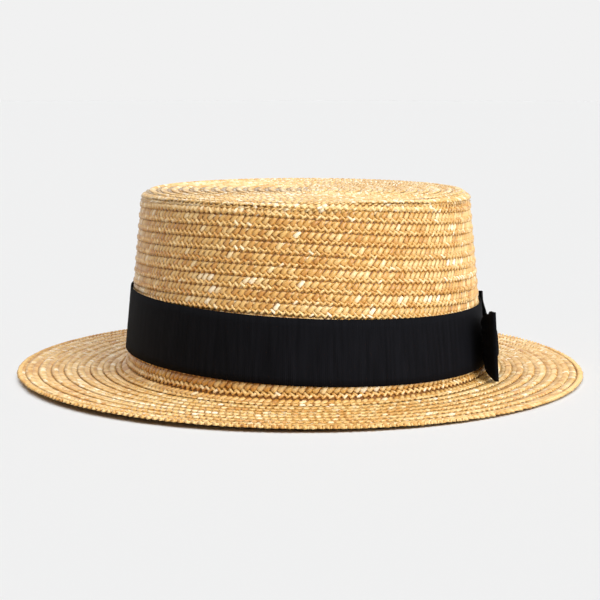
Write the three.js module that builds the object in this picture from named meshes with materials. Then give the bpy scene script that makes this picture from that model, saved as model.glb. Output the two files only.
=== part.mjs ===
import * as THREE from 'three';

// Straw boater hat in millimetres. X is the width, Y the length with the front towards -Y, Z is up.
// The hat lies on its brim, and z = 0 is the surface under it.
// Every oval of the hat is as much longer than wide as the head it fits, so one half width names it.

// Plan
const brimHalfWidth = 135;
const ovalExtra = 15;
const crownShift = 2.6;

// Crown
const tipHeight = 87.7;
const tipHalfWidth = 75.4;
const bevelHalfWidth = 78.8;
const bevelDrop = 2.9;
const footHalfWidth = 86.4;
const footHeight = 6.8;
const strawWall = 1.6;

// Brim
const turnWidth = 5;
const brimHeightAtTurn = 3.1;
const rimThickness = 2.3;
const seatWidth = 6;
const rimLift = 1.05;
const rimBend = 0.4;
const rimTip = 0.6;
const rimLean = 0.4;
const rimTwist = 0.5;

// Rows of plait, each lapping over the next one outwards
const tipRows = 14;
const sideRows = 15;
const brimRows = 8;
const lapStep = 0.7;

// Ribbon
const ribbonWidth = 28.8;
const ribbonThickness = 0.6;
const ribbonAboveBrim = 6.7;
const ribbonDropAtHead = 3.6;
const ribbonDropAtFoot = 3.2;
const seamGap = 0.3;

// Bow on the wearer's left, +X
const bowHalfLength = 51;
const bowForward = 7;
const bowRibbonThickness = 0.8;
const bowDepth = 2.7;
const loopAboveBrim = 0.5;
const loopHeight = 31.5;
const wrapWidth = 13;
const wrapHeight = 15;
const wrapDrop = 5;
const wrapBulge = 1;
const pinchedShare = 0.84;
const farLoopShare = 0.82;
const loopUprightShare = 0.4;
const nearLoopFlare = 1.6;

// Smoothness and roundness
const ovalSegments = 48;
const turnSteps = 3;
const pathSteps = 28;
const wrapSides = 16;
const wrapSquareness = 0.45;
const middleFullness = 0.45;
const middleRingShare = 0.2;

const strawMaterial = new THREE.MeshStandardMaterial({ color: 0xdcb277, roughness: 0.55, metalness: 0 });
const brimMaterial = new THREE.MeshStandardMaterial({ color: 0xd9ae72, roughness: 0.55, metalness: 0 });
const ribbonMaterial = new THREE.MeshStandardMaterial({ color: 0x18181b, roughness: 0.8, metalness: 0 });
const bowMaterial = new THREE.MeshStandardMaterial({ color: 0x141417, roughness: 0.78, metalness: 0 });

const bevelHeight = tipHeight - bevelDrop;
const turnHalfWidth = footHalfWidth + turnWidth;

// A point of an oval. Small ovals near the middle of the tip have fuller ends than an ellipse.
function ovalPoint(angle, halfWidth, z, shift) {
  const small = Math.max(0, 1 - halfWidth / tipHalfWidth);
  const sine = Math.sin(angle);
  const full = sine * (1 + middleFullness * small * (1 - sine * sine));
  return new THREE.Vector3(shift + halfWidth * Math.cos(angle), halfWidth * sine + ovalExtra * full, z);
}

function oval(halfWidth, z, shift, warp = () => 0) {
  const ring = [];
  for (let i = 0; i < ovalSegments; i += 1) {
    const angle = (2 * Math.PI * i) / ovalSegments;
    ring.push(ovalPoint(angle, halfWidth, z + warp(angle), shift));
  }
  return ring;
}

// Half width of the straw's outer face at a height: the leaning side, and under it the turn into the brim.
function strawHalfWidth(z) {
  if (z >= footHeight) {
    const down = (bevelHeight - z) / (bevelHeight - footHeight);
    return bevelHalfWidth + (footHalfWidth - bevelHalfWidth) * down;
  }
  const down = Math.min(1, (footHeight - z) / (footHeight - brimHeightAtTurn));
  return footHalfWidth + turnWidth * (1 - Math.sqrt(1 - down * down));
}

// A closed body through rings of equal count. A loop of rings closes on itself, else both ends get a fan.
function bodyThroughRings(rings, closesOnItself) {
  const count = rings[0].length;
  const positions = [];
  const triangle = (a, b, c) => positions.push(...a, ...b, ...c);
  const bands = closesOnItself ? rings.length : rings.length - 1;
  for (let j = 0; j < bands; j += 1) {
    const near = rings[j];
    const far = rings[(j + 1) % rings.length];
    for (let i = 0; i < count; i += 1) {
      const k = (i + 1) % count;
      triangle(near[i], far[i], far[k]);
      triangle(near[i], far[k], near[k]);
    }
  }
  if (!closesOnItself) {
    const first = rings[0];
    const last = rings[rings.length - 1];
    const middleOf = (ring) => ring.reduce((sum, p) => sum.add(p), new THREE.Vector3()).divideScalar(count);
    const firstMiddle = middleOf(first);
    const lastMiddle = middleOf(last);
    for (let i = 0; i < count; i += 1) {
      const k = (i + 1) % count;
      triangle(firstMiddle, first[i], first[k]);
      triangle(lastMiddle, last[k], last[i]);
    }
  }
  const geometry = new THREE.BufferGeometry();
  geometry.setAttribute('position', new THREE.Float32BufferAttribute(positions, 3));
  geometry.computeVertexNormals();
  return geometry;
}

function mesh(name, geometry, material) {
  const piece = new THREE.Mesh(geometry, material);
  piece.name = name;
  return piece;
}

// Crown: the flat tip, one bevelled row at its corner and the leaning side, hollow and open below
function crownGeometry() {
  const rings = [];
  const tipPitch = tipHalfWidth / tipRows;
  for (let row = 0; row < tipRows; row += 1) {
    const lap = row === 0 ? 0 : lapStep;
    const innerHalf = tipPitch * Math.max(row, middleRingShare);
    rings.push(oval(innerHalf, tipHeight - lap, crownShift));
    rings.push(oval(tipPitch * (row + 1), tipHeight, crownShift));
  }
  rings.push(oval(tipHalfWidth, tipHeight - lapStep, crownShift));
  rings.push(oval(bevelHalfWidth, bevelHeight, crownShift));
  const sidePitch = (bevelHeight - footHeight) / sideRows;
  for (let row = 0; row < sideRows; row += 1) {
    const top = bevelHeight - sidePitch * row;
    rings.push(oval(strawHalfWidth(top) - lapStep, top, crownShift));
    rings.push(oval(strawHalfWidth(top - sidePitch), top - sidePitch, crownShift));
  }
  const wall = lapStep + strawWall;
  const insideRows = [
    { height: footHeight, half: footHalfWidth - wall },
    { height: (footHeight + bevelHeight) / 2, half: (footHalfWidth + bevelHalfWidth) / 2 - wall },
    { height: bevelHeight - strawWall / 2, half: bevelHalfWidth - wall },
    { height: tipHeight - wall, half: tipHalfWidth - wall / 2 },
    { height: tipHeight - wall, half: tipHalfWidth / 2 },
    { height: tipHeight - wall, half: tipPitch * middleRingShare },
  ];
  for (const row of insideRows) {
    rings.push(oval(row.half, row.height, crownShift));
  }
  return bodyThroughRings(rings, false);
}

// Brim: a collar that turns outwards under the crown's last row, then the flat rows out to the rim.
// Its shift fades out from the turn to the rim. From the seat's edge outwards it lifts a little and is
// warped by wear, so that the flat ring inside that edge is what the hat lies on.
const seatHalfWidth = turnHalfWidth + seatWidth;

// How far the warp lifts the rim: a bend over the front and back, tips to the back and to -X, and a twist
function rimWarp(angle) {
  const sine = Math.sin(angle);
  return rimBend * sine * sine + rimTip * sine - rimLean * Math.cos(angle) + rimTwist * Math.sin(2 * angle);
}

function shareOutFrom(start, halfWidth) {
  return THREE.MathUtils.clamp((halfWidth - start) / (brimHalfWidth - start), 0, 1);
}

function brimOval(halfWidth, z) {
  const shift = crownShift * (1 - shareOutFrom(turnHalfWidth, halfWidth));
  const share = shareOutFrom(seatHalfWidth, halfWidth);
  return oval(halfWidth, z, shift, (angle) => share * rimWarp(angle));
}

function brimUnderHeight(halfWidth) {
  return rimLift * shareOutFrom(seatHalfWidth, halfWidth);
}

function brimTopHeight(halfWidth) {
  const share = shareOutFrom(turnHalfWidth, halfWidth);
  return THREE.MathUtils.lerp(brimHeightAtTurn, rimLift + rimThickness, share);
}

function brimGeometry() {
  const rings = [];
  const collarTop = footHeight - seamGap;
  const collarOut = footHalfWidth - lapStep;
  const insideHalf = footHalfWidth - lapStep - strawWall;
  for (let step = 0; step <= turnSteps; step += 1) {
    const angle = (Math.PI / 2) * (step / turnSteps);
    const half = turnHalfWidth - (turnHalfWidth - collarOut) * Math.cos(angle);
    rings.push(brimOval(half, collarTop - (collarTop - brimHeightAtTurn) * Math.sin(angle)));
  }
  const pitch = (brimHalfWidth - turnHalfWidth) / brimRows;
  for (let row = 0; row < brimRows; row += 1) {
    const inner = turnHalfWidth + pitch * row;
    const outer = inner + pitch;
    rings.push(brimOval(inner, brimTopHeight(inner) - lapStep));
    rings.push(brimOval(outer, brimTopHeight(outer)));
  }
  for (const half of [brimHalfWidth, (brimHalfWidth + seatHalfWidth) / 2, seatHalfWidth, turnHalfWidth]) {
    rings.push(brimOval(half, brimUnderHeight(half)));
  }
  for (let step = 1; step <= turnSteps; step += 1) {
    const angle = (Math.PI / 2) * (step / turnSteps);
    const half = turnHalfWidth - (turnHalfWidth - insideHalf) * Math.sin(angle);
    rings.push(brimOval(half, collarTop * (1 - Math.cos(angle))));
  }
  return bodyThroughRings(rings, true);
}

// Ribbon round the foot of the crown, a little lower on the bow's side
const ribbonFootHeight = brimHeightAtTurn + ribbonAboveBrim;

function ribbonEdge(share, clearance) {
  const ring = [];
  const middle = ribbonFootHeight + ribbonWidth * share;
  const drop = THREE.MathUtils.lerp(ribbonDropAtFoot, ribbonDropAtHead, share);
  for (let i = 0; i < ovalSegments; i += 1) {
    const angle = (2 * Math.PI * i) / ovalSegments;
    const z = middle - drop * Math.cos(angle);
    ring.push(ovalPoint(angle, strawHalfWidth(z) + clearance, z, crownShift));
  }
  return ring;
}

function ribbonGeometry() {
  const inside = seamGap;
  const outside = seamGap + ribbonThickness;
  return bodyThroughRings([
    ribbonEdge(1, outside),
    ribbonEdge(0.5, outside),
    ribbonEdge(0, outside),
    ribbonEdge(0, inside),
    ribbonEdge(0.5, inside),
    ribbonEdge(1, inside),
  ], true);
}

// The bow lies along the ribbon's tangent where it is sewn on. Its own axes are along (towards the
// back), out (away from the crown) and up. Its middle leans with the crown's side, its ends lean less.
const ribbonMiddleAtBow = ribbonFootHeight - ribbonDropAtFoot + ribbonWidth / 2;
const bowHalfWidth = strawHalfWidth(ribbonMiddleAtBow) + seamGap + ribbonThickness;
const bowSine = -bowForward / (bowHalfWidth + ovalExtra);
const bowSeat = ovalPoint(Math.asin(bowSine), bowHalfWidth, ribbonMiddleAtBow, crownShift);
const bowAlong = new THREE.Vector3(
  -bowHalfWidth * bowSine,
  (bowHalfWidth + ovalExtra) * Math.sqrt(1 - bowSine * bowSine),
  0,
).normalize();
const bowOut = new THREE.Vector3(bowAlong.y, -bowAlong.x, 0);
const sideLean = (footHalfWidth - bevelHalfWidth) / (bevelHeight - footHeight);

function bowPoint(along, out, z) {
  const lean = sideLean * (1 - loopUprightShare * Math.abs(along / bowHalfLength));
  const across = out - lean * (z - ribbonMiddleAtBow);
  return bowSeat.clone().setZ(z).addScaledVector(bowAlong, along).addScaledVector(bowOut, across);
}

// How far the ribbon's curve has fallen away from the bow's tangent plane
function crownFall(along) {
  const share = along / (bowHalfWidth + ovalExtra);
  return bowHalfWidth * (1 - Math.sqrt(1 - share * share));
}

// Each loop leaves the wrap along the crown, folds over at its end and comes back on the outside.
// along is a share of the half length, out of the bow's depth, hug of the crown's fall, spread of the
// loop's full height and sink of the wrap's drop.
const loopPath = [
  { along: 0.012, out: 0.06, hug: 0.00, spread: 0.25, sink: 1.00 },
  { along: 0.150, out: 0.05, hug: 0.90, spread: 0.30, sink: 0.95 },
  { along: 0.320, out: 0.00, hug: 1.00, spread: 0.50, sink: 0.60 },
  { along: 0.480, out: -0.10, hug: 0.95, spread: 0.60, sink: 0.30 },
  { along: 0.650, out: -0.25, hug: 0.92, spread: 0.66, sink: 0.10 },
  { along: 0.820, out: -0.25, hug: 0.50, spread: 0.84, sink: 0.02 },
  { along: 0.940, out: -0.25, hug: 0.20, spread: 0.95, sink: 0.00 },
  { along: 0.990, out: -0.18, hug: 0.10, spread: 1.00, sink: 0.00 },
  { along: 1.000, out: 0.18, hug: 0.08, spread: 1.00, sink: 0.00 },
  { along: 0.985, out: 0.52, hug: 0.08, spread: 1.00, sink: 0.00 },
  { along: 0.900, out: 0.35, hug: 0.08, spread: 0.98, sink: 0.00 },
  { along: 0.650, out: 0.15, hug: 0.10, spread: 0.90, sink: 0.08 },
  { along: 0.350, out: 0.30, hug: 0.05, spread: 0.66, sink: 0.45 },
  { along: 0.150, out: 0.72, hug: 0.00, spread: 0.30, sink: 0.95 },
  { along: 0.012, out: 0.82, hug: 0.00, spread: 0.25, sink: 1.00 },
];
const loopFloor = Math.max(brimTopHeight(turnHalfWidth), brimTopHeight(brimHalfWidth));
const loopFoot = loopFloor + loopAboveBrim;
const loopMiddle = loopFoot + loopHeight / 2;
const wrapMiddle = loopMiddle - wrapDrop;
const bowClear = seamGap + bowRibbonThickness + seamGap + bowRibbonThickness / 2;

function loopGeometry(side, heightShare, flare) {
  const flat = new THREE.CatmullRomCurve3(loopPath.map((row) => {
    const along = row.along * bowHalfLength;
    const out = bowClear + row.out * bowDepth - row.hug * crownFall(along) + flare * row.along ** 2;
    return new THREE.Vector3(along, out, 0);
  }), false, 'centripetal');
  const halfHeight = (loopHeight / 2) * heightShare;
  const rings = [];
  for (let step = 0; step <= pathSteps; step += 1) {
    const place = (step / pathSteps) * (loopPath.length - 1);
    const index = Math.min(Math.floor(place), loopPath.length - 2);
    const blend = (column) => (
      THREE.MathUtils.lerp(loopPath[index][column], loopPath[index + 1][column], place - index)
    );
    const at = flat.getPoint(step / pathSteps);
    const way = flat.getTangent(step / pathSteps).normalize();
    const aside = new THREE.Vector2(-way.y, way.x).multiplyScalar(bowRibbonThickness / 2);
    const middle = loopMiddle - wrapDrop * blend('sink');
    const foot = middle - halfHeight * blend('spread');
    const head = middle + halfHeight * blend('spread');
    const corner = (turn, z) => bowPoint(side * (at.x + turn * aside.x), at.y + turn * aside.y, z);
    const ring = [corner(1, foot), corner(1, head), corner(-1, head), corner(-1, foot)];
    rings.push(side > 0 ? ring : ring.reverse());
  }
  return bodyThroughRings(rings, false);
}

// The wrap is a flattened sleeve round the pinched middle of the bow
function wrapGeometry() {
  const halfDepth = (bowDepth * pinchedShare + bowRibbonThickness) / 2 + seamGap;
  const middleOut = bowClear - bowRibbonThickness / 2 - seamGap + halfDepth;
  const edge = (along, grow, bulge) => {
    const ring = [];
    for (let i = 0; i < wrapSides; i += 1) {
      const angle = (2 * Math.PI * i) / wrapSides;
      const square = (value) => Math.sign(value) * Math.abs(value) ** wrapSquareness;
      const outwards = square(Math.cos(angle));
      const upwards = square(Math.sin(angle));
      const out = middleOut + outwards * (halfDepth + grow) + Math.max(0, outwards) * bulge;
      ring.push(bowPoint(along, out, wrapMiddle + upwards * (wrapHeight / 2 - bowRibbonThickness + grow)));
    }
    return ring;
  };
  const end = wrapWidth / 2;
  return bodyThroughRings([
    edge(-end, bowRibbonThickness, 0),
    edge(0, bowRibbonThickness, wrapBulge),
    edge(end, bowRibbonThickness, 0),
    edge(end, 0, 0),
    edge(0, 0, wrapBulge),
    edge(-end, 0, 0),
  ], true);
}

const hat = new THREE.Group();
hat.add(
  mesh('crown', crownGeometry(), strawMaterial),
  mesh('brim', brimGeometry(), brimMaterial),
  mesh('hat_band', ribbonGeometry(), ribbonMaterial),
);

const bow = new THREE.Group();
bow.add(
  mesh('bow_near_loop', loopGeometry(-1, 1, nearLoopFlare), bowMaterial),
  mesh('bow_far_loop', loopGeometry(1, farLoopShare, 0), bowMaterial),
  mesh('bow_wrap', wrapGeometry(), bowMaterial),
);
hat.add(bow);

export default hat;
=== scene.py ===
# Straw boater hat: plaited straw crown and brim, black grosgrain band and a flat side bow.
import math

import bmesh
import bpy
import numpy as np
from mathutils import Matrix, Vector


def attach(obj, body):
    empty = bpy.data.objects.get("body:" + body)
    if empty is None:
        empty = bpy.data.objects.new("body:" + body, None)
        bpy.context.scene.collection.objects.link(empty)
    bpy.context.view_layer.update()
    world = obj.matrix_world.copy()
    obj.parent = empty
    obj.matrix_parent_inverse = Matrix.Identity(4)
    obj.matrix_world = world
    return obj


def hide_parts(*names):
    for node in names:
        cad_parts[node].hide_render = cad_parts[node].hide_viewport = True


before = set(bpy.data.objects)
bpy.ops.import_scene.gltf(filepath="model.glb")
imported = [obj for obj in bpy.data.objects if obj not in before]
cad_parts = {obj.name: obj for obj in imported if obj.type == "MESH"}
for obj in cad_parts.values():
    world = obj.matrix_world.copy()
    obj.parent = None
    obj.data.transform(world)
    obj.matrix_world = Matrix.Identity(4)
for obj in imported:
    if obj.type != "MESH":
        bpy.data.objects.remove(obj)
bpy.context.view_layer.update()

MM = 0.001
SEED = 11

# Sizes of the straw shell, in millimetres, as the solids have them
BRIM_HALF_WIDTH = 135.0
OVAL_EXTRA = 15.0
CROWN_SHIFT = 2.6
TIP_HEIGHT = 87.7
TIP_HALF_WIDTH = 75.4
BEVEL_HALF_WIDTH = 78.8
BEVEL_HEIGHT = 84.8
FOOT_HALF_WIDTH = 86.4
FOOT_HEIGHT = 6.8
TURN_WIDTH = 5.0
BRIM_TOP_AT_TURN = 3.1
SEAT_WIDTH = 6.0
RIM_BEND = 0.4
RIM_TIP = 0.6
RIM_LEAN = 0.4
RIM_TWIST = 0.5
RIM_LIFT = 1.05
MIDDLE_FULLNESS = 0.45
CROWN_WALL = 2.3
SEAT_WALL = 3.1
RIM_WALL = 2.3
BRIM_TOP_AT_RIM = RIM_LIFT + RIM_WALL
TURN_HALF_WIDTH = FOOT_HALF_WIDTH + TURN_WIDTH
SEAT_HALF_WIDTH = TURN_HALF_WIDTH + SEAT_WIDTH

# The plait, one braid sewn in a spiral from the middle of the tip to the rim
CROWN_PITCH = 5.2
CROWN_FIRST_EDGE = 2.56
BRIM_PITCH = 5.75
BRIM_FIRST_EDGE = -4.2
CHANGE_FROM_TURN = 9.0
CHANGE_TO_TURN = 15.0
ROW_LEAN = 1.5
ROW_TIP = 1.0
ROW_SADDLE = 1.35
ROW_TWIST = -1.25
RIM_MERGE = 2.5
LEAST_ROW = 1.5
SPLINT_PITCH = 3.05
ROW_TILT = 7.5
TOP_ROW_TILT = 15.0
TOP_ROW_SINK = 0.35
TURN_LIFT = 0.6
MIDDLE_HALF_WIDTH = 1.5
STEPS_A_TURN = 900

# A splint, as shares of its length, width and thickness
SPLINT_SQUARENESS = 0.5
SPLINT_UNDER_MIDDLE = 0.4
SPLINT_WALL = 0.62
SPLINT_TAPER = (0.76, 0.55, 1)
SPLINT_BULGE = 0.28

# Fibres: waves along and across one splint, drawn coarser than real ones so that they show
FIBRES_ALONG = 1.2
FIBRES_ACROSS = 16.0
FIBRE_CONTRAST = 0.44
FIBRE_RELIEF = 0.2
MOTTLES_PER_MM = 0.9

# The ground under the splints, its sizes in millimetres
GROUND_DEPTH = 1.1
GROUND_BEHIND_INSIDE = 0.7
GROUND_COLUMNS = 144
CROWN_GROUND_STEP = 4.0
BRIM_GROUND_STEP = 2.5
MERGE_WITHIN = 0.01

# Ribbon, in millimetres
RIBBON_FOOT_HEIGHT = 9.8
RIBBON_WIDTH = 28.8
RIBBON_DROP_AT_HEAD = 3.6
RIBBON_DROP_AT_FOOT = 3.2
RIBBON_INSIDE = 0.3
RIBBON_THICKNESS = 0.6
BAND_LENGTH = 590.0
BAND_COLUMNS = 480
BAND_ROWS = 8

# Ribs and uneven threads of the grosgrain, in millimetres, drawn a little coarse so that they show
RIB_PITCH = 0.95
RIB_RELIEF = 0.12
SLUBS_PER_MM = (0.5, 0.04)

# Bow, in millimetres
LOOP_ABOVE_BRIM = 0.5
BOW_HALF_LENGTH = 51.0
BOW_FORWARD = 7.0
BOW_THICKNESS = 0.8
BOW_DEPTH = 2.7
LOOP_HEIGHT = 31.5
WRAP_WIDTH = 13.0
WRAP_HEIGHT = 15.0
WRAP_DROP = 5.0
WRAP_BULGE = 1.0
WRAP_CREASE = 0.2
WRAP_CREASES = 3
WRAP_COLUMNS = 96
WRAP_ROWS = 10
WRAP_SQUARENESS = 0.45
PINCHED_SHARE = 0.84
FAR_LOOP_SHARE = 0.82
LOOP_UPRIGHT_SHARE = 0.4
NEAR_LOOP_FLARE = 1.6
SEAM_GAP = 0.3


# Shared helpers for meshes and materials
def linear(hex_colour):
    """sRGB hex to a linear colour with alpha."""
    parts = [int(hex_colour[i:i + 2], 16) / 255 for i in (1, 3, 5)]
    return [c / 12.92 if c <= 0.04045 else ((c + 0.055) / 1.055) ** 2.4 for c in parts] + [1.0]


def add_node(tree, kind, settings=None, values=None, links=None):
    """One shader or geometry node with its settings, socket values and incoming links."""
    node = tree.nodes.new(kind)
    for key, value in (settings or {}).items():
        setattr(node, key, value)
    for key, value in (values or {}).items():
        node.inputs[key].default_value = value
    for key, socket in (links or {}).items():
        tree.links.new(socket, node.inputs[key])
    return node


def new_material(name):
    """An empty node material and its tree."""
    material = bpy.data.materials.new(name)
    material.use_nodes = True
    material.node_tree.nodes.clear()
    return material, material.node_tree


def set_ramp(node, stops):
    """The colours of a ramp, from pairs of place and sRGB hex."""
    ramp = node.color_ramp
    while len(ramp.elements) > 1:
        ramp.elements.remove(ramp.elements[-1])
    ramp.elements[0].position = stops[0][0]
    ramp.elements[0].color = linear(stops[0][1])
    for position, colour in stops[1:]:
        ramp.elements.new(position).color = linear(colour)


def new_object(name, mesh, material):
    """A piece at the origin with one material."""
    piece = bpy.data.objects.new(name, mesh)
    bpy.context.scene.collection.objects.link(piece)
    mesh.materials.clear()
    mesh.materials.append(material)
    return piece


def smoothstep(x):
    """0 to 1 with flat ends."""
    x = np.clip(x, 0, 1)
    return x * x * (3 - 2 * x)


# The hat's shape: ovals along one profile from the middle of the tip, down the side and out to the rim
def straw_half_width(z):
    """Half width of the crown's outer face at a height."""
    down = (BEVEL_HEIGHT - z) / (BEVEL_HEIGHT - FOOT_HEIGHT)
    side = BEVEL_HALF_WIDTH + (FOOT_HALF_WIDTH - BEVEL_HALF_WIDTH) * down
    low = np.clip((FOOT_HEIGHT - z) / (FOOT_HEIGHT - BRIM_TOP_AT_TURN), 0, 1)
    return np.where(z >= FOOT_HEIGHT, side, FOOT_HALF_WIDTH + TURN_WIDTH * (1 - np.sqrt(1 - low * low)))


def oval_point(angle, half, z, shift):
    """Point of an oval that has this half width; small ovals are fuller at their ends."""
    small = np.clip(1 - half / TIP_HALF_WIDTH, 0, None)
    sine = np.sin(angle)
    full = sine * (1 + MIDDLE_FULLNESS * small * (1 - sine * sine))
    return np.stack([shift + half * np.cos(angle), half * sine + OVAL_EXTRA * full, z], -1)


def rim_warp(angle):
    """How far the rim is bent, tipped and twisted out of flat, round the hat."""
    sine = np.sin(angle)
    warp = RIM_BEND * sine * sine + RIM_TIP * sine - RIM_LEAN * np.cos(angle)
    return warp + RIM_TWIST * np.sin(2 * angle)


TURN_CORNERS = 12


def make_profile():
    """Arc length from the bevel's edge, half width and height, with the corners a little rounded."""
    turn = np.linspace(0, math.pi / 2, TURN_CORNERS)[1:]
    corners = [(0, TIP_HEIGHT), (TIP_HALF_WIDTH, TIP_HEIGHT), (BEVEL_HALF_WIDTH, BEVEL_HEIGHT)]
    corners += [(FOOT_HALF_WIDTH, FOOT_HEIGHT)]
    for a in turn:
        half = TURN_HALF_WIDTH - TURN_WIDTH * math.cos(a)
        corners.append((half, FOOT_HEIGHT - (FOOT_HEIGHT - BRIM_TOP_AT_TURN) * math.sin(a)))
    corners.append((BRIM_HALF_WIDTH, BRIM_TOP_AT_RIM))
    corners = np.array(corners, float)
    length = np.concatenate([[0], np.cumsum(np.linalg.norm(np.diff(corners, axis=0), axis=1))])
    step = 0.2
    fine = np.arange(0, length[-1] + step / 2, step)
    path = np.stack([np.interp(fine, length, corners[:, i]) for i in (0, 1)], -1)
    reach = 6
    padded = np.concatenate([np.repeat(path[:1], reach, 0), path, np.repeat(path[-1:], reach, 0)])
    kernel = np.hanning(2 * reach + 3)[1:-1]
    kernel /= kernel.sum()
    rounded = np.stack([np.convolve(padded[:, i], kernel, "valid") for i in (0, 1)], -1)
    rounded[:reach] = path[:reach]
    rounded[-reach:] = path[-reach:]
    return fine - length[2], rounded[:, 0], rounded[:, 1]


PROFILE_S, PROFILE_HALF, PROFILE_Z = make_profile()
CENTRE_S, RIM_S = PROFILE_S[0], PROFILE_S[-1]
BEVEL_S = 0.0
FOOT_S = float(PROFILE_S[np.argmin(np.abs(PROFILE_Z - FOOT_HEIGHT))])
TURN_S = FOOT_S + 4.0
TOP_ROWS_END = 1.5
SEAT_WALL_STARTS = FOOT_S + 7.0
SEAT_WALL_ENDS = FOOT_S + 13.0


def surface(angle, s):
    """Point of the straw's outer face."""
    half = np.interp(s, PROFILE_S, PROFILE_HALF)
    z = np.interp(s, PROFILE_S, PROFILE_Z)
    outward = (half - TURN_HALF_WIDTH) / (BRIM_HALF_WIDTH - TURN_HALF_WIDTH)
    shift = CROWN_SHIFT * (1 - np.clip(outward, 0, 1))
    share = np.clip((half - SEAT_HALF_WIDTH) / (BRIM_HALF_WIDTH - SEAT_HALF_WIDTH), 0, 1)
    return oval_point(angle, half, z + share * rim_warp(angle), shift)


def unit(v):
    """The same directions at length one."""
    return v / np.maximum(np.linalg.norm(v, axis=-1, keepdims=True), 1e-9)


def surface_frame(angle, s):
    """Point, direction along the row, direction down the profile, and outward normal."""
    turn, step = 0.002, 0.3
    point = surface(angle, s)
    along = unit(surface(angle + turn, s) - surface(angle - turn, s))
    low, high = np.clip(s - step, CENTRE_S, RIM_S), np.clip(s + step, CENTRE_S, RIM_S)
    down = surface(angle, high) - surface(angle, low)
    out = unit(np.cross(down, along))
    return point, along, np.cross(along, out), out


def wall_at(s):
    """Thickness of the straw, which is most where the hat rests."""
    stops = [BEVEL_S, FOOT_S, SEAT_WALL_STARTS, SEAT_WALL_ENDS, RIM_S]
    return np.interp(s, stops, [CROWN_WALL, CROWN_WALL, SEAT_WALL, SEAT_WALL, RIM_WALL])


def row_edge(turns):
    """Where the braid's lower edge lies on the profile after that many turns of the spiral."""
    angle = 2 * math.pi * turns
    crown = CROWN_FIRST_EDGE + CROWN_PITCH * turns
    fade = np.clip((crown - CENTRE_S) / TIP_HALF_WIDTH, 0, 1)
    wander = ROW_LEAN * np.cos(angle) + ROW_TIP * np.sin(angle)
    wander += ROW_SADDLE * np.cos(2 * angle) + ROW_TWIST * np.sin(2 * angle)
    crown = crown + fade * wander
    brim = BRIM_FIRST_EDGE + BRIM_PITCH * turns
    share = smoothstep((turns - CHANGE_FROM_TURN) / (CHANGE_TO_TURN - CHANGE_FROM_TURN))
    edge = crown + share * (brim - crown)
    left = np.clip(RIM_S - edge, 0, None)
    return np.clip(RIM_S - left * smoothstep(left / RIM_MERGE), CENTRE_S, RIM_S)


# Materials
def straw_material(name, ramp_stops, roughness, coat):
    """Varnished wheat straw, split and plaited: its own colour, fine fibres and a gloss for each splint."""
    material, tree = new_material(name)
    shade = add_node(tree, "ShaderNodeAttribute", {"attribute_name": "shade"})
    uv = add_node(tree, "ShaderNodeUVMap", {"uv_map": "UVMap"})
    offset = add_node(tree, "ShaderNodeVectorMath", {"operation": "MULTIPLY_ADD"},
                      {1: (FIBRES_ALONG, FIBRES_ACROSS, 1.0)}, {0: uv.outputs[0]})
    spread = add_node(tree, "ShaderNodeVectorMath", {"operation": "SCALE"}, {"Scale": 40.0},
                      {0: shade.outputs["Vector"]})
    tree.links.new(spread.outputs[0], offset.inputs[2])
    fibre = add_node(tree, "ShaderNodeTexNoise", None, {"Scale": 1.0, "Detail": 3.0},
                     {"Vector": offset.outputs[0]})
    mixed = add_node(tree, "ShaderNodeMath", {"operation": "MULTIPLY_ADD"}, {1: FIBRE_CONTRAST},
                     {0: fibre.outputs["Fac"]})
    tree.links.new(shade.outputs["Fac"], mixed.inputs[2])
    centred = add_node(tree, "ShaderNodeMath", {"operation": "SUBTRACT"}, {1: FIBRE_CONTRAST / 2},
                       {0: mixed.outputs[0]})
    ramp = add_node(tree, "ShaderNodeValToRGB", None, None, {0: centred.outputs[0]})
    set_ramp(ramp, ramp_stops)
    bump = add_node(tree, "ShaderNodeBump", None, {"Strength": 0.25, "Distance": FIBRE_RELIEF * MM},
                    {"Height": fibre.outputs["Fac"]})
    shader = add_node(tree, "ShaderNodeBsdfPrincipled", None,
                      {"Roughness": roughness, "IOR": 1.5, "Specular Tint": linear("#FFEFD2"),
                       "Coat Weight": coat, "Coat Roughness": 0.26},
                      {"Base Color": ramp.outputs[0], "Normal": bump.outputs[0]})
    add_node(tree, "ShaderNodeOutputMaterial", None, None, {"Surface": shader.outputs[0]})
    return material


def ground_material():
    """The backs of the splints under the plait, seen only as pits between them, in an amber brown darker
    than the straw: painted shade in the pits.
    """
    material, tree = new_material("straw_backs_painted_shade")
    coordinates = add_node(tree, "ShaderNodeTexCoord")
    noise = add_node(tree, "ShaderNodeTexNoise", None, {"Scale": MOTTLES_PER_MM / MM, "Detail": 2.0},
                     {"Vector": coordinates.outputs["Object"]})
    ramp = add_node(tree, "ShaderNodeValToRGB", None, None, {0: noise.outputs["Fac"]})
    # Darker than the straw's own colours: painted shade for the pits between splints and the strip below
    # the rim's splints
    set_ramp(ramp, [(0.3, "#6F4314"), (0.7, "#9A6428")])
    shader = add_node(tree, "ShaderNodeBsdfPrincipled", None, {"Roughness": 0.6},
                      {"Base Color": ramp.outputs[0]})
    add_node(tree, "ShaderNodeOutputMaterial", None, None, {"Surface": shader.outputs[0]})
    return material


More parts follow.
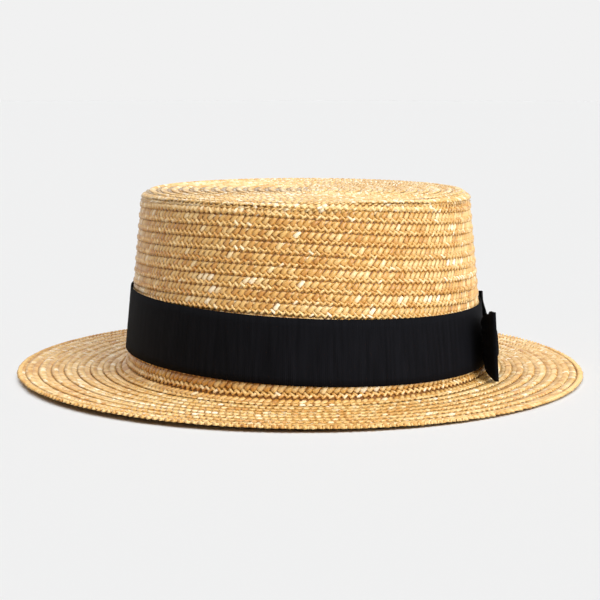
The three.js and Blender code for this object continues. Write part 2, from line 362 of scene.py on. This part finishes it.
def ribbon_material():
    """Black rayon grosgrain: dull and nearly black, with fine ribs that run across the ribbon."""
    material, tree = new_material("black_grosgrain")
    uv = add_node(tree, "ShaderNodeUVMap", {"uv_map": "UVMap"})
    ribs = add_node(tree, "ShaderNodeTexWave", {"wave_type": "BANDS", "bands_direction": "X"},
                    {"Scale": 2 * math.pi / (20 * RIB_PITCH * MM), "Distortion": 0.4, "Detail": 1.0},
                    {"Vector": uv.outputs[0]})
    slub = add_node(tree, "ShaderNodeMapping", None,
                    {"Scale": (SLUBS_PER_MM[0] / MM, SLUBS_PER_MM[1] / MM, 1.0)}, {"Vector": uv.outputs[0]})
    threads = add_node(tree, "ShaderNodeTexNoise", None, {"Scale": 1.0, "Detail": 3.0},
                       {"Vector": slub.outputs[0]})
    ramp = add_node(tree, "ShaderNodeValToRGB", None, None, {0: threads.outputs["Fac"]})
    set_ramp(ramp, [(0.3, "#0A0A0C"), (0.7, "#121215")])
    bump = add_node(tree, "ShaderNodeBump", None, {"Strength": 0.6, "Distance": RIB_RELIEF * MM},
                    {"Height": ribs.outputs["Fac"]})
    shader = add_node(tree, "ShaderNodeBsdfPrincipled", None,
                      {"Roughness": 0.75, "Specular IOR Level": 0.03,
                       "Sheen Weight": 0.005, "Sheen Roughness": 0.4},
                      {"Base Color": ramp.outputs[0], "Normal": bump.outputs[0]})
    add_node(tree, "ShaderNodeOutputMaterial", None, None, {"Surface": shader.outputs[0]})
    return material


# Amber through golden to cream straw
STRAW_STOPS = [(0.0, "#85511A"), (0.3, "#C08436"), (0.55, "#D6A658"), (0.8, "#EBC98A"), (1.0, "#F9E8C8")]
straw = straw_material("varnished_wheat_straw", STRAW_STOPS, 0.34, 0.85)
straw_backs = ground_material()
grosgrain = ribbon_material()


# Splints of the plait
def splint_template(name, sides):
    """One bulging splint, one unit long, wide and thick, with its length along X and its face up."""
    bm = bmesh.new()
    bmesh.ops.create_circle(bm, cap_ends=True, segments=sides, radius=0.5)
    bmesh.ops.rotate(bm, cent=(0, 0, 0), matrix=Matrix.Rotation(math.pi / sides, 3, "Z"), verts=bm.verts)
    for v in bm.verts:
        flat = [math.copysign(abs(2 * c) ** SPLINT_SQUARENESS / 2, c) for c in v.co.xy]
        v.co = Vector(flat + [-SPLINT_UNDER_MIDDLE])
    top = bmesh.ops.extrude_face_region(bm, geom=list(bm.faces))
    face = [f for f in top["geom"] if isinstance(f, bmesh.types.BMFace)]
    raised = [v for v in top["geom"] if isinstance(v, bmesh.types.BMVert)]
    bmesh.ops.translate(bm, verts=raised, vec=(0, 0, SPLINT_WALL))
    bmesh.ops.scale(bm, verts=raised, vec=SPLINT_TAPER)
    bmesh.ops.poke(bm, faces=face, offset=SPLINT_BULGE)
    open_edges = [e for e in bm.edges if e.is_boundary]
    if open_edges:
        bmesh.ops.holes_fill(bm, edges=open_edges, sides=0)
    bmesh.ops.recalc_face_normals(bm, faces=bm.faces)
    uv = bm.loops.layers.uv.new("UVMap")
    for f in bm.faces:
        f.smooth = True
        for loop in f.loops:
            loop[uv].uv = (loop.vert.co.x + 0.5, loop.vert.co.y + 0.5)
    mesh = bpy.data.meshes.new(name)
    bm.to_mesh(mesh)
    bm.free()
    return new_object(name, mesh, straw)


def scatter_tree(template):
    """Geometry Nodes that put the template on every point and make the result one mesh."""
    tree = bpy.data.node_groups.new("sew_splints", "GeometryNodeTree")
    tree.interface.new_socket("Geometry", in_out="INPUT", socket_type="NodeSocketGeometry")
    tree.interface.new_socket("Geometry", in_out="OUTPUT", socket_type="NodeSocketGeometry")
    start = add_node(tree, "NodeGroupInput")
    shape = add_node(tree, "GeometryNodeObjectInfo", None, {"Object": template})
    turn, size = (add_node(tree, "GeometryNodeInputNamedAttribute", {"data_type": kind}, {"Name": name})
                  for kind, name in (("QUATERNION", "turn"), ("FLOAT_VECTOR", "size")))
    placed = add_node(tree, "GeometryNodeInstanceOnPoints", None, None, {
        "Points": start.outputs[0], "Instance": shape.outputs["Geometry"],
        "Rotation": turn.outputs["Attribute"], "Scale": size.outputs["Attribute"]})
    real = add_node(tree, "GeometryNodeRealizeInstances", None, None, {"Geometry": placed.outputs[0]})
    add_node(tree, "NodeGroupOutput", None, None, {0: real.outputs[0]})
    return tree


def sew(name, points, axes, sizes, shades, tree):
    """A piece of plait: a splint at each point, turned to its axes (length, width, face)."""
    count = len(points)
    mesh = bpy.data.meshes.new(name)
    mesh.vertices.add(count)
    mesh.vertices.foreach_set("co", (points * MM).astype(np.float32).ravel())
    turns = np.array([Matrix(a.T).to_quaternion() for a in axes], np.float32)
    for label, kind, key, values in (("turn", "QUATERNION", "value", turns),
                                     ("size", "FLOAT_VECTOR", "vector", sizes * MM),
                                     ("shade", "FLOAT", "value", shades)):
        attribute = mesh.attributes.new(label, kind, "POINT")
        attribute.data.foreach_set(key, np.asarray(values, np.float32).ravel())
    piece = new_object(name, mesh, straw)
    piece.modifiers.new("splints", "NODES").node_group = tree
    evaluated = piece.evaluated_get(bpy.context.evaluated_depsgraph_get())
    whole = bpy.data.meshes.new_from_object(evaluated)
    piece.modifiers.clear()
    piece.data = whole
    for spare in ("turn", "size"):
        if spare in whole.attributes:
            whole.attributes.remove(whole.attributes[spare])
    whole.name = name
    return piece


def stations():
    """Turn counts along the spiral, one for each splint pitch of the braid."""
    first = (CENTRE_S + MIDDLE_HALF_WIDTH - CROWN_FIRST_EDGE) / CROWN_PITCH
    last = (RIM_S - BRIM_FIRST_EDGE) / BRIM_PITCH + 1
    fine = np.arange(first, last, 1 / STEPS_A_TURN)
    middle = (row_edge(fine) + row_edge(fine - 1)) / 2
    path = surface(2 * math.pi * fine, middle)
    length = np.concatenate([[0], np.cumsum(np.linalg.norm(np.diff(path, axis=0), axis=1))])
    return np.interp(np.arange(0, length[-1], SPLINT_PITCH), length, fine)


random = np.random.default_rng(SEED)
TURNS = stations()

# Each kind of splint: its middle as a share of the row from the upper edge, its place along the row in
# pitches, its lean in degrees, its length, width and thickness, and how deep its face lies
OUTER_SPLINTS = {
    "arm": (0.33, 0.0, -50, 4.9, 2.95, 1.45, 0.42),
    "edge": (0.77, 0.5, 36, 3.6, 1.5, 1.2, 0.0),
    "hook": (0.86, 0.0, -36, 3.1, 1.35, 1.0, 0.05),
}
BRIM_SPLINTS = {
    "arm": (0.29, 0.0, -46, 4.4, 2.7, 1.4, 0.40),
    "edge": (0.70, 0.5, 40, 4.3, 2.0, 1.3, 0.0),
    "hook": (0.87, 0.0, -30, 3.0, 1.4, 1.1, 0.05),
}
INNER_SPLINTS = {
    "arm": (0.62, 0.0, 52, 5.2, 2.9, 0.8, 0.25),
    "edge": (0.18, 0.5, -32, 3.5, 1.9, 0.9, 0.1),
}
RIM_SPLINT_LENGTH = 3.5
RIM_SPLINT_WIDTH = 2.0
RIM_SPLINT_LEAN = 42
RIM_SPLINT_IN = 1.15
RIM_SPLINT_THICK = 1.6
RIM_ROW = 0.8
RIM_SHADE_REACH = RIM_ROW + 1.0
RIM_STEPS = 2000
UNDER_RIM_INSET = 2.2
INNER_SINK = 0.3
RIM_PALEST = 0.68
UPPER_HALF = 0.5
TURN_LIFT_REACH = 4.0
ROW_SCALE_LIMITS = (0.4, 1.2)
LEAN_SCATTER = 6
ROLL_SCATTER = 8
SIZE_SCATTER = 0.05

# Shades of the splints, from 0, amber brown, to 1, cream
CREAM_SHARE = 0.12
GOLDEN_SHARE = 0.55
CREAM, GOLDEN, AMBER = 0.8, 0.6, 0.44
SPLINT_SCATTER = 0.06
STRETCH_SCATTER = 0.07
STRETCH_LENGTH = 30
# Painted light: the tip and the brim face the lamps above, so their splints are painted paler
TIP_PAINTED_LIGHT = 0.14
BRIM_PAINTED_LIGHT = 0.06


def smooth_random(count, reach):
    """Random numbers that change slowly from one splint to the next."""
    kernel = np.hanning(reach + 2)[1:-1]
    raw = np.convolve(random.normal(size=count + reach - 1), kernel, "valid")
    return raw / raw.std()


def straw_shades(s):
    """Cream, golden and amber splints in paler and darker stretches, painted paler on the tip and brim as
    painted light from above; none is very pale at the rim.
    """
    count = len(s)
    pick = random.random(count)
    shade = np.select([pick < CREAM_SHARE, pick < CREAM_SHARE + GOLDEN_SHARE], [CREAM, GOLDEN], AMBER)
    shade += SPLINT_SCATTER * random.normal(size=count)
    shade += STRETCH_SCATTER * smooth_random(count, STRETCH_LENGTH)
    # Painted light: paler on the upward-facing tip and brim
    shade += TIP_PAINTED_LIGHT * (s < BEVEL_S) + BRIM_PAINTED_LIGHT * (s > TURN_S)
    return np.clip(shade, 0, np.where(RIM_S - s < RIM_SHADE_REACH, RIM_PALEST, 1))


def splints(table, brim_table, inside):
    """Points, axes, sizes, shades and profile places of one kind of splint on one face of the straw."""
    on_brim = row_edge(TURNS) > TURN_S + BRIM_PITCH / 2
    share, step, lean, length, breadth, thick, depth = (
        np.where(on_brim, brim, crown) for crown, brim in zip(table, brim_table))
    turns = TURNS + step * np.gradient(TURNS)
    bottom, top = row_edge(turns), row_edge(turns - 1)
    width = bottom - top
    s = top + share * width
    on_top = s < TOP_ROWS_END
    depth = depth + thick / 2 + TOP_ROW_SINK * on_top * (share < UPPER_HALF)
    depth = depth - TURN_LIFT * np.exp(-((s - TURN_S) / TURN_LIFT_REACH) ** 2)
    if inside:
        depth = wall_at(s) - depth - INNER_SINK
    row_scale = np.clip(width / CROWN_PITCH, *ROW_SCALE_LIMITS)
    length, breadth = length * np.sqrt(row_scale), breadth * row_scale
    tilt = np.where(on_top, TOP_ROW_TILT, ROW_TILT)
    keep = (width > LEAST_ROW) & (RIM_S - s > (UNDER_RIM_INSET if inside else 0))
    keep &= (RIM_S - bottom > RIM_ROW) | (share < UPPER_HALF)
    return placed(2 * math.pi * turns, s, depth, tilt, lean, length, breadth, thick, inside, keep)


def rim_splints():
    """The same for the splints that the rim is bound with, one ring of them."""
    fine = np.linspace(0, 2 * math.pi, RIM_STEPS)
    path = surface(fine, np.full(RIM_STEPS, RIM_S))
    length = np.concatenate([[0], np.cumsum(np.linalg.norm(np.diff(path, axis=0), axis=1))])
    count = round(length[-1] / SPLINT_PITCH)
    angle = np.interp(np.arange(count) * length[-1] / count, length, fine)
    same = (RIM_S - RIM_SPLINT_IN, RIM_SPLINT_THICK / 2, 0, RIM_SPLINT_LEAN,
            RIM_SPLINT_LENGTH, RIM_SPLINT_WIDTH, RIM_SPLINT_THICK)
    every = [np.full(count, float(v)) for v in same]
    return placed(angle, *every, False, np.full(count, True))


def placed(angle, s, depth, tilt, lean, length, breadth, thick, inside, keep):
    """Splints laid on one face of the straw, tilted with the lap of the rows and a little irregular."""
    count = len(s)
    point, along, down, out = surface_frame(angle, s)
    point = point - out * depth[:, None]
    tilt = np.radians(tilt)[:, None]
    down, out = down * np.cos(tilt) + out * np.sin(tilt), out * np.cos(tilt) - down * np.sin(tilt)
    lean = np.radians(lean + random.normal(0, LEAN_SCATTER, count))[:, None]
    roll = random.normal(0, math.radians(ROLL_SCATTER), count)[:, None]
    length_axis = np.cos(lean) * along + np.sin(lean) * down
    face = -out if inside else out
    face = unit(face * np.cos(roll) + np.cross(face, length_axis) * np.sin(roll))
    axes = np.stack([length_axis, np.cross(face, length_axis), face], 1)
    grow = 1 + random.normal(0, SIZE_SCATTER, count)
    sizes = np.stack([length * grow, breadth * grow, thick], -1)
    return point[keep], axes[keep], sizes[keep], straw_shades(s)[keep], s[keep]


MIDDLE_OF_SIDE = FOOT_S / 2
BRIM_STARTS = FOOT_S + 1.0
ZONES = {"tip": (CENTRE_S, BEVEL_S), "side_upper": (BEVEL_S, MIDDLE_OF_SIDE),
         "side_lower": (MIDDLE_OF_SIDE, BRIM_STARTS), "brim": (BRIM_STARTS, math.inf)}
plait = {}
for face_name, kinds, brim_kinds, sides in (("outer", OUTER_SPLINTS, BRIM_SPLINTS, 8),
                                            ("inner", INNER_SPLINTS, INNER_SPLINTS, 4)):
    template = splint_template(f"{face_name}_splint", sides)
    sewing = scatter_tree(template)
    sets = [splints(kinds[kind], brim_kinds[kind], face_name == "inner") for kind in kinds]
    if face_name == "outer":
        sets.append(rim_splints())
    found = [np.concatenate(part) for part in zip(*sets)]
    for zone, (low, high) in ZONES.items():
        here = (found[4] >= low) & (found[4] < high)
        name = f"{zone}_plait_{face_name}"
        plait[name] = sew(name, *(part[here] for part in found[:4]), sewing)
    bpy.data.objects.remove(template)


# The ground under the splints
def ground(name, from_s, to_s, row_step):
    """A thin closed shell of the backs of the splints, from one place on the profile to another."""
    rows = max(2, int((to_s - from_s) / row_step))
    outer = np.linspace(from_s, to_s, rows + 1)
    places = [(s, GROUND_DEPTH) for s in outer]
    places += [(s, wall_at(s) - GROUND_BEHIND_INSIDE) for s in outer[::-1]]
    if from_s > CENTRE_S + MIDDLE_HALF_WIDTH:
        places.append(places[0])
    bm = bmesh.new()
    bmesh.ops.create_grid(bm, x_segments=GROUND_COLUMNS, y_segments=len(places) - 1, size=0.5)
    xy = np.array([v.co.xy for v in bm.verts]) + 0.5
    angle = 2 * math.pi * xy[:, 0]
    index = np.rint(xy[:, 1] * (len(places) - 1)).astype(int)
    s = np.array([p[0] for p in places])[index]
    depth = np.array([p[1] for p in places])[index]
    point, _, _, out = surface_frame(angle, s)
    for v, p in zip(bm.verts, (point - out * depth[:, None]) * MM):
        v.co = p
    bmesh.ops.remove_doubles(bm, verts=bm.verts, dist=MERGE_WITHIN * MM)
    open_edges = [e for e in bm.edges if e.is_boundary]
    if open_edges:
        bmesh.ops.holes_fill(bm, edges=open_edges, sides=0)
    bmesh.ops.recalc_face_normals(bm, faces=bm.faces)
    for f in bm.faces:
        f.smooth = True
    mesh = bpy.data.meshes.new(name)
    bm.to_mesh(mesh)
    bm.free()
    return new_object(name, mesh, straw_backs)


GROUND_JOINT = FOOT_S + 0.5
GROUND_INSIDE_RIM = 1.0
crown_ground = ground("crown_plait_backs", CENTRE_S + MIDDLE_HALF_WIDTH, GROUND_JOINT, CROWN_GROUND_STEP)
brim_ground = ground("brim_plait_backs", GROUND_JOINT, RIM_S - GROUND_INSIDE_RIM, BRIM_GROUND_STEP)


# Ribbon round the foot of the crown
def strip(name, columns, rows, place, thickness, wraps=False):
    """A ribbon: a grid laid out by place(u, v) in millimetres, given its thickness, UV in metres."""
    bm = bmesh.new()
    uv = bm.loops.layers.uv.new("UVMap")
    bmesh.ops.create_grid(bm, x_segments=columns, y_segments=rows, size=0.5)
    grid = {v: (v.co.x + 0.5, v.co.y + 0.5) for v in bm.verts}
    shares = np.array(list(grid.values()))
    points, length, width = place(shares[:, 0], shares[:, 1])
    for f in bm.faces:
        f.smooth = True
        for loop in f.loops:
            u, w = grid[loop.vert]
            loop[uv].uv = (u * length * MM, w * width * MM)
    for v, p in zip(bm.verts, points * MM):
        v.co = p
    if wraps:
        bmesh.ops.remove_doubles(bm, verts=bm.verts, dist=2 * MERGE_WITHIN * MM)
    bmesh.ops.recalc_face_normals(bm, faces=bm.faces)
    bmesh.ops.solidify(bm, geom=list(bm.faces), thickness=thickness * MM)
    bmesh.ops.recalc_face_normals(bm, faces=bm.faces)
    mesh = bpy.data.meshes.new(name)
    bm.to_mesh(mesh)
    bm.free()
    return new_object(name, mesh, grosgrain)


def band_place(u, v):
    """The band round the crown's foot, lower on the side of the bow."""
    angle = 2 * math.pi * u
    drop = RIBBON_DROP_AT_FOOT + (RIBBON_DROP_AT_HEAD - RIBBON_DROP_AT_FOOT) * v
    z = RIBBON_FOOT_HEIGHT + RIBBON_WIDTH * v - drop * np.cos(angle)
    points = oval_point(angle, straw_half_width(z) + RIBBON_INSIDE + RIBBON_THICKNESS, z, CROWN_SHIFT)
    return points, BAND_LENGTH, RIBBON_WIDTH


band = strip("grosgrain_band", BAND_COLUMNS, BAND_ROWS, band_place, RIBBON_THICKNESS, wraps=True)


# Bow
def smooth_path(points, steps):
    """Smooth curve through the points, its knots spaced by the square root of their distance."""
    points = np.asarray(points, float)
    ends = np.concatenate([[2 * points[0] - points[1]], points, [2 * points[-1] - points[-2]]])
    knots = np.concatenate([[0], np.cumsum(np.linalg.norm(np.diff(ends[:, :2], axis=0), axis=1) ** 0.5)])
    result = []
    for share in np.linspace(0, len(points) - 1, steps + 1):
        i = min(int(share), len(points) - 2)
        t0, t1, t2, t3 = knots[i:i + 4]
        t = t1 + (share - i) * (t2 - t1)
        p0, p1, p2, p3 = ends[i:i + 4]
        a1 = (t1 - t) / (t1 - t0) * p0 + (t - t0) / (t1 - t0) * p1
        a2 = (t2 - t) / (t2 - t1) * p1 + (t - t1) / (t2 - t1) * p2
        a3 = (t3 - t) / (t3 - t2) * p2 + (t - t2) / (t3 - t2) * p3
        b1 = (t2 - t) / (t2 - t0) * a1 + (t - t0) / (t2 - t0) * a2
        b2 = (t3 - t) / (t3 - t1) * a2 + (t - t1) / (t3 - t1) * a3
        result.append((t2 - t) / (t2 - t1) * b1 + (t - t1) / (t2 - t1) * b2)
    return np.array(result)


RIBBON_MIDDLE_AT_BOW = RIBBON_FOOT_HEIGHT - RIBBON_DROP_AT_FOOT + RIBBON_WIDTH / 2
BOW_HALF_WIDTH = float(straw_half_width(RIBBON_MIDDLE_AT_BOW)) + RIBBON_INSIDE + RIBBON_THICKNESS
BOW_SINE = -BOW_FORWARD / (BOW_HALF_WIDTH + OVAL_EXTRA)
BOW_SEAT = oval_point(math.asin(BOW_SINE), BOW_HALF_WIDTH, RIBBON_MIDDLE_AT_BOW, CROWN_SHIFT)
BOW_ALONG = unit(np.array([-BOW_HALF_WIDTH * BOW_SINE,
                           (BOW_HALF_WIDTH + OVAL_EXTRA) * math.sqrt(1 - BOW_SINE ** 2), 0]))
BOW_OUT = np.array([BOW_ALONG[1], -BOW_ALONG[0], 0])
SIDE_LEAN = (FOOT_HALF_WIDTH - BEVEL_HALF_WIDTH) / (BEVEL_HEIGHT - FOOT_HEIGHT)
LOOP_FOOT = max(BRIM_TOP_AT_TURN, BRIM_TOP_AT_RIM) + LOOP_ABOVE_BRIM
LOOP_MIDDLE = LOOP_FOOT + LOOP_HEIGHT / 2
WRAP_MIDDLE = LOOP_MIDDLE - WRAP_DROP
BOW_CLEAR = SEAM_GAP + BOW_THICKNESS + SEAM_GAP + BOW_THICKNESS / 2

# along is a share of the half length, out of the bow's depth, hug of the crown's fall from the tangent,
# spread of the loop's full height and sink of the wrap's drop
LOOP_COLUMNS = ("along", "out", "hug", "spread", "sink")
LOOP_PATH = [
    (0.012, 0.06, 0.00, 0.25, 1.00),
    (0.150, 0.05, 0.90, 0.30, 0.95),
    (0.320, 0.00, 1.00, 0.50, 0.60),
    (0.480, -0.10, 0.95, 0.60, 0.30),
    (0.650, -0.25, 0.92, 0.66, 0.10),
    (0.820, -0.25, 0.50, 0.84, 0.02),
    (0.940, -0.25, 0.20, 0.95, 0.00),
    (0.990, -0.18, 0.10, 1.00, 0.00),
    (1.000, 0.18, 0.08, 1.00, 0.00),
    (0.985, 0.52, 0.08, 1.00, 0.00),
    (0.900, 0.35, 0.08, 0.98, 0.00),
    (0.650, 0.15, 0.10, 0.90, 0.08),
    (0.350, 0.30, 0.05, 0.66, 0.45),
    (0.150, 0.72, 0.00, 0.30, 0.95),
    (0.012, 0.82, 0.00, 0.25, 1.00),
]
LOOP_STEPS = 140
CLOTH_THICKNESS = 0.5
FOLD_DEPTH = 0.62
FOLD_COUNT = 5
FOLD_START = 0.6
LOOP_ROWS = 50


def bow_point(along, out, z):
    """From the bow's own directions to the hat's; the bow leans as the crown's side does, its ends less."""
    lean = SIDE_LEAN * (1 - LOOP_UPRIGHT_SHARE * np.abs(along / BOW_HALF_LENGTH))
    across = out - lean * (z - RIBBON_MIDDLE_AT_BOW)
    base = np.stack([np.full_like(z, BOW_SEAT[0]), np.full_like(z, BOW_SEAT[1]), z], -1)
    return base + along[:, None] * BOW_ALONG + across[:, None] * BOW_OUT


def crown_fall(along):
    """How far the crown's oval falls away from the straight line through the bow's middle."""
    share = along / (BOW_HALF_WIDTH + OVAL_EXTRA)
    return BOW_HALF_WIDTH * (1 - np.sqrt(1 - share * share))


def loop_piece(name, side, height_share, flare):
    """One loop: the ribbon runs out from the wrap and back, pleated where it is gathered."""
    row = dict(zip(LOOP_COLUMNS, np.array(LOOP_PATH).T))
    along = row["along"] * BOW_HALF_LENGTH
    out = BOW_CLEAR + row["out"] * BOW_DEPTH - row["hug"] * crown_fall(along) + flare * row["along"] ** 2
    path = smooth_path(np.stack([along, out, row["spread"], row["sink"]], -1), LOOP_STEPS)
    flat = path[:, :2]
    length = float(np.linalg.norm(np.diff(flat, axis=0), axis=1).sum())
    way = unit(np.gradient(flat, axis=0))
    aside = np.stack([-way[:, 1], way[:, 0]], -1)
    half_height = LOOP_HEIGHT / 2 * height_share

    def place(u, v):
        i = np.rint(u * LOOP_STEPS).astype(int)
        spread = path[i, 2]
        gather = np.clip((1 - spread) / (1 - LOOP_PATH[0][3]), 0, 1)
        fold = FOLD_DEPTH * gather * np.sin(2 * math.pi * FOLD_COUNT * v + FOLD_START)
        at = flat[i] + aside[i] * (fold + CLOTH_THICKNESS / 2)[:, None]
        z = LOOP_MIDDLE - WRAP_DROP * path[i, 3] + half_height * spread * (2 * v - 1)
        return bow_point(side * at[:, 0], at[:, 1], z), length, 2 * half_height

    return strip(name, LOOP_STEPS, LOOP_ROWS, place, CLOTH_THICKNESS), length, 2 * half_height


near_loop, NEAR_LENGTH, NEAR_WIDTH = loop_piece("bow_near_ribbon", -1, 1.0, NEAR_LOOP_FLARE)
far_loop, FAR_LENGTH, FAR_WIDTH = loop_piece("bow_far_ribbon", 1, FAR_LOOP_SHARE, 0)


def wrap_place(u, v):
    """The short ribbon round the bow's middle, pressed nearly square."""
    half_depth = (BOW_DEPTH * PINCHED_SHARE + BOW_THICKNESS) / 2 + SEAM_GAP
    middle_out = BOW_CLEAR - BOW_THICKNESS / 2 - SEAM_GAP + half_depth
    angle = 2 * math.pi * u
    outwards = np.sign(np.cos(angle)) * np.abs(np.cos(angle)) ** WRAP_SQUARENESS
    upwards = np.sign(np.sin(angle)) * np.abs(np.sin(angle)) ** WRAP_SQUARENESS
    bulge = WRAP_BULGE * (1 - (2 * v - 1) ** 2) * np.clip(outwards, 0, None)
    crease = WRAP_CREASE * np.sin(WRAP_CREASES * math.pi * v) * np.clip(outwards, 0, None)
    out = middle_out + outwards * (half_depth + BOW_THICKNESS) + bulge + crease
    z = WRAP_MIDDLE + upwards * WRAP_HEIGHT / 2
    return bow_point((v - 0.5) * WRAP_WIDTH, out, z), WRAP_LENGTH, WRAP_WIDTH


WRAP_LENGTH = 2 * (WRAP_HEIGHT + BOW_DEPTH + 2 * BOW_THICKNESS)
wrap = strip("bow_wrap_ribbon", WRAP_COLUMNS, WRAP_ROWS, wrap_place, BOW_THICKNESS, wraps=True)

# What rides where; the solids that these pieces are drawn instead of are hidden
straw_pieces = [*plait.values(), crown_ground, brim_ground]
ribbon_pieces = [band, near_loop, far_loop, wrap]
hat_pieces = straw_pieces + ribbon_pieces
for piece in hat_pieces:
    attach(piece, "root")
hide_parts("crown")
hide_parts("brim")
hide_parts("hat_band")
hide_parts("bow_near_loop")
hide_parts("bow_far_loop")
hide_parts("bow_wrap")

# Floor and backdrop, camera and soft studio light
STAGE_RADIUS = 12.0
BACKDROP_HEIGHT = 14.0
STUDIO_WHITE = "#F1F1F1"
STAGE_SEGMENTS = 96
bm = bmesh.new()
bmesh.ops.create_circle(bm, cap_ends=True, segments=STAGE_SEGMENTS, radius=STAGE_RADIUS)
floor_mesh = bpy.data.meshes.new("floor")
bm.to_mesh(floor_mesh)
bm.free()

# Dull pale paper with no gloss
floor_material, floor_tree = new_material("pale_studio_floor")
floor_shader = add_node(floor_tree, "ShaderNodeBsdfDiffuse", None, {"Color": linear("#F0F0F0")})
add_node(floor_tree, "ShaderNodeOutputMaterial", None, None, {"Surface": floor_shader.outputs[0]})
floor = new_object("floor", floor_mesh, floor_material)

bm = bmesh.new()
bmesh.ops.create_cone(bm, cap_ends=False, segments=STAGE_SEGMENTS, radius1=STAGE_RADIUS,
                      radius2=STAGE_RADIUS, depth=BACKDROP_HEIGHT)
bmesh.ops.translate(bm, verts=bm.verts, vec=(0, 0, BACKDROP_HEIGHT / 2))
backdrop_mesh = bpy.data.meshes.new("backdrop")
bm.to_mesh(backdrop_mesh)
bm.free()

# Lit paper that shows to the camera and in the straw's gloss, and lights nothing else
backdrop_material, backdrop_tree = new_material("bright_paper_backdrop")
backdrop_glow = add_node(backdrop_tree, "ShaderNodeEmission", None, {"Color": linear(STUDIO_WHITE)})
add_node(backdrop_tree, "ShaderNodeOutputMaterial", None, None, {"Surface": backdrop_glow.outputs[0]})
backdrop = new_object("backdrop", backdrop_mesh, backdrop_material)
backdrop.visible_diffuse = backdrop.visible_shadow = False

CAMERA_PLACE = Vector((0.0, -789.9, 137.8)) * MM
CAMERA_PITCH = 0.1313
FOCAL_PIXELS = 1644.2
PICTURE_PIXELS = 600
SENSOR_WIDTH = 36.0
camera_data = bpy.data.cameras.new("camera")
camera_data.sensor_width = SENSOR_WIDTH
camera_data.lens = SENSOR_WIDTH * FOCAL_PIXELS / PICTURE_PIXELS
camera = bpy.data.objects.new("camera", camera_data)
camera.location = CAMERA_PLACE
camera.rotation_euler = (math.pi / 2 - CAMERA_PITCH, 0, 0)
bpy.context.scene.collection.objects.link(camera)
bpy.context.scene.camera = camera


def sun(name, towards, angle, colour, power, lights_only):
    """A soft lamp a long way off, towards a direction and some degrees wide, that lights one group."""
    data = bpy.data.lights.new(name, "SUN")
    data.angle = math.radians(angle)
    data.energy = power
    data.color = linear(colour)[:3]
    lamp = bpy.data.objects.new(name, data)
    lamp.rotation_euler = (-Vector(towards)).to_track_quat("-Z", "Y").to_euler()
    lamp.light_linking.receiver_collection = lights_only
    bpy.context.scene.collection.objects.link(lamp)


hat_group = bpy.data.collections.new("hat")
for piece in hat_pieces:
    hat_group.objects.link(piece)
floor_group = bpy.data.collections.new("floor")
floor_group.objects.link(floor)
sun("key_from_the_right", (0.63, -0.67, 0.42), 45, "#EEF4FF", 4.0, hat_group)
sun("wide_overhead", (0.0, -0.1, 1.0), 80, "#FFFFFF", 2.15, hat_group)
sun("table_light", (0.0, 0.0, 1.0), 70, "#F3F9FF", 2.91, floor_group)

world = bpy.data.worlds.new("studio")
bpy.context.scene.world = world
world.use_nodes = True
world.node_tree.nodes.clear()
background = add_node(world.node_tree, "ShaderNodeBackground", None,
                      {"Color": linear("#FFDFB4"), "Strength": 0.17})
add_node(world.node_tree, "ShaderNodeOutputWorld", None, None, {"Surface": background.outputs[0]})
bpy.context.scene.view_settings.view_transform = "Standard"
